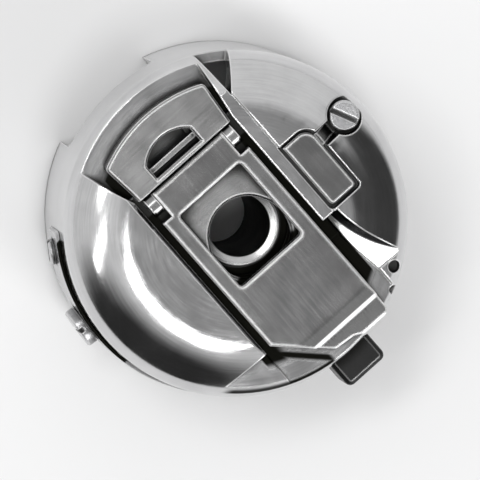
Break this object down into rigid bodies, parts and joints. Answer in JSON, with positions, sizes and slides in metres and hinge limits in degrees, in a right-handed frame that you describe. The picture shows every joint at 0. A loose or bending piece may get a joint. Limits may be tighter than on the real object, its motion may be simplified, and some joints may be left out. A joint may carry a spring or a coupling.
{
  "type": "bobbin case",
  "caption": "Round polished-steel rotary-hook bobbin case with a hinged latch lever, sliding lock plate, side tension spring and position finger.",
  "frame": {"origin": "on the case's axis at the level of the open rim, just below the mouth of the centre tube's bore", "axes": "+Z along the case's axis out of the latched end face, +X along the latch lever towards its free end and the position finger, +Y across the lever"},
  "size_m": [0.0245, 0.0234, 0.0119],
  "materials": {
    "polished_case": "mirror-polished steel with fine scratches",
    "turned_steel": "fine-turned",
    "satin_steel": "satin, brushed along the lever",
    "screw_steel": "turned and lightly polished",
    "spring_steel": "polished spring steel",
    "finger_steel": "ground, slightly dark"
  },
  "bodies": {
    "case": {"case_body": "polished_case", "center_tube": "turned_steel", "latch_spring": "spring_steel", "spring_cover": "satin_steel", "cover_screw": "screw_steel", "tension_spring": "spring_steel", "tension_spring_fixing_screw": "screw_steel", "position_finger": "finger_steel", "anti_backlash_spring": "spring_steel"},
    "slide": {"latch_slide": "satin_steel", "lever_hinge_pin": "screw_steel"},
    "lever": {"latch_lever": "satin_steel"},
    "adjuster": {"tension_screw": "screw_steel"}
  },
  "joints": [
    {"name": "latch_slide_travel", "type": "slide", "parent": "case", "child": "slide", "axis": [-1, 0, 0], "range_m": [0, 0.0013], "stiffness_N_per_m": 200, "springref_m": -0.003, "deforming": ["latch_spring"]},
    {"name": "latch_lever_hinge", "type": "hinge", "parent": "slide", "child": "lever", "pos_m": [-0.00485, 0, 0.0111], "axis": [0, -1, 0], "range_deg": [0, 85]},
    {"name": "tension_screw_turn", "type": "hinge", "parent": "case", "child": "adjuster", "pos_m": [-0.001, -0.01146, 0.0052], "axis": [-0.0872, -0.9962, 0], "range_deg": [-180, 180]}
  ],
  "couplings": [
    {"joint": "latch_lever_hinge", "follows": "latch_slide_travel", "rad_per_m": 1141}
  ]
}
